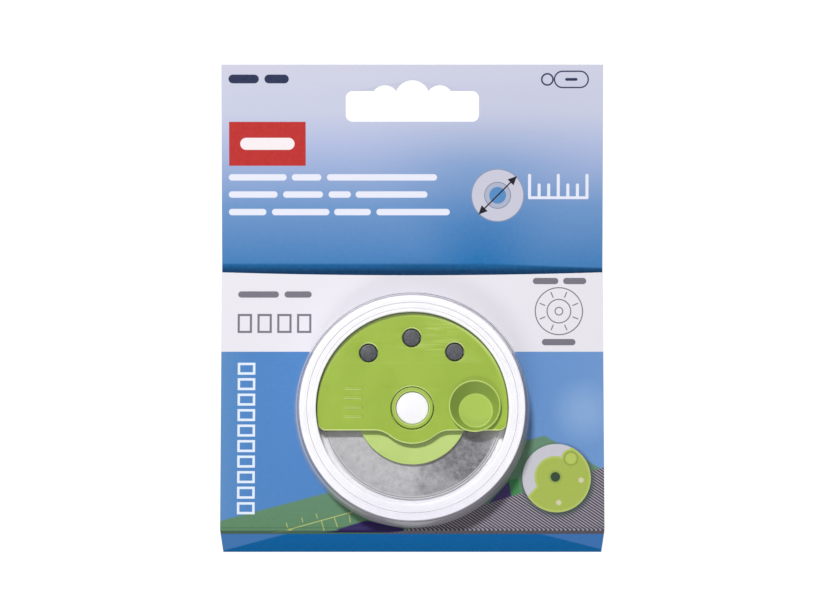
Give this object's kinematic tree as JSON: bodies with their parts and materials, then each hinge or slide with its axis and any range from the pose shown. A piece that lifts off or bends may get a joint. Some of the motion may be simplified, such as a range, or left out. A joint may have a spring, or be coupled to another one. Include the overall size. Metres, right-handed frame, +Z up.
{
  "type": "carded rotary cutter blade in a holder case",
  "caption": "Hanging folded-card retail pack with a round blade case in its window; inside, a finger-cup holder with magnets carries a round cutter blade.",
  "frame": {"origin": "where a peg bears: the peak of the hang slot's middle bump, halfway through the back card's thickness", "axes": "+Z up along the back card, +X to the right of someone facing the printed front, which faces -Y"},
  "size_m": [0.0954, 0.0208, 0.1227],
  "materials": {
    "printed_card_back": "printed, satin",
    "printed_card_spine": "printed, satin",
    "printed_card_flap": "printed, satin",
    "hot_melt_glue": "waxy",
    "white_tray_plastic": "smooth moulded",
    "clear_lid_plastic": "clear, polished",
    "lime_plastic": "satin moulded",
    "pale_lime_plastic": "satin moulded",
    "magnet": "dark, mottled",
    "blade_steel": "ground steel"
  },
  "bodies": {
    "back_card": {"back_card": "printed_card_back", "glue_strip_left": "hot_melt_glue", "glue_strip_right": "hot_melt_glue"},
    "bottom_spine": {"bottom_spine": "printed_card_spine"},
    "front_flap": {"front_flap": "printed_card_flap", "case_tray": "white_tray_plastic"},
    "case_lid": {"case_lid": "clear_lid_plastic"},
    "blade_holder": {"holder_plate": "lime_plastic", "hub_disc": "pale_lime_plastic", "magnet_left": "magnet", "magnet_middle": "magnet", "magnet_right": "magnet"},
    "blade": {"blade": "blade_steel"}
  },
  "joints": [
    {"name": "spine_fold", "type": "hinge", "parent": "back_card", "child": "bottom_spine", "pos_m": [0, 0, -0.1186], "axis": [1, 0, 0], "range_deg": [0, 118]},
    {"name": "flap_fold", "type": "hinge", "parent": "bottom_spine", "child": "front_flap", "pos_m": [0, -0.0127, -0.11162], "axis": [1, 0, 0], "range_deg": [0, 110]},
    {"name": "lid_pull", "type": "slide", "parent": "front_flap", "child": "case_lid", "axis": [0, -0.9848, 0.1736], "range_m": [0, 0.05]},
    {"name": "holder_lift", "type": "slide", "parent": "front_flap", "child": "blade_holder", "axis": [0, -0.9848, 0.1736], "range_m": [0, 0.025]},
    {"name": "blade_spin", "type": "hinge", "parent": "blade_holder", "child": "blade", "pos_m": [0, -0.0102, -0.0816], "axis": [0, -0.9848, 0.1736], "continuous": true}
  ],
  "couplings": [
    {"joint": "holder_lift", "follows": "lid_pull", "ratio": 0.5}
  ]
}
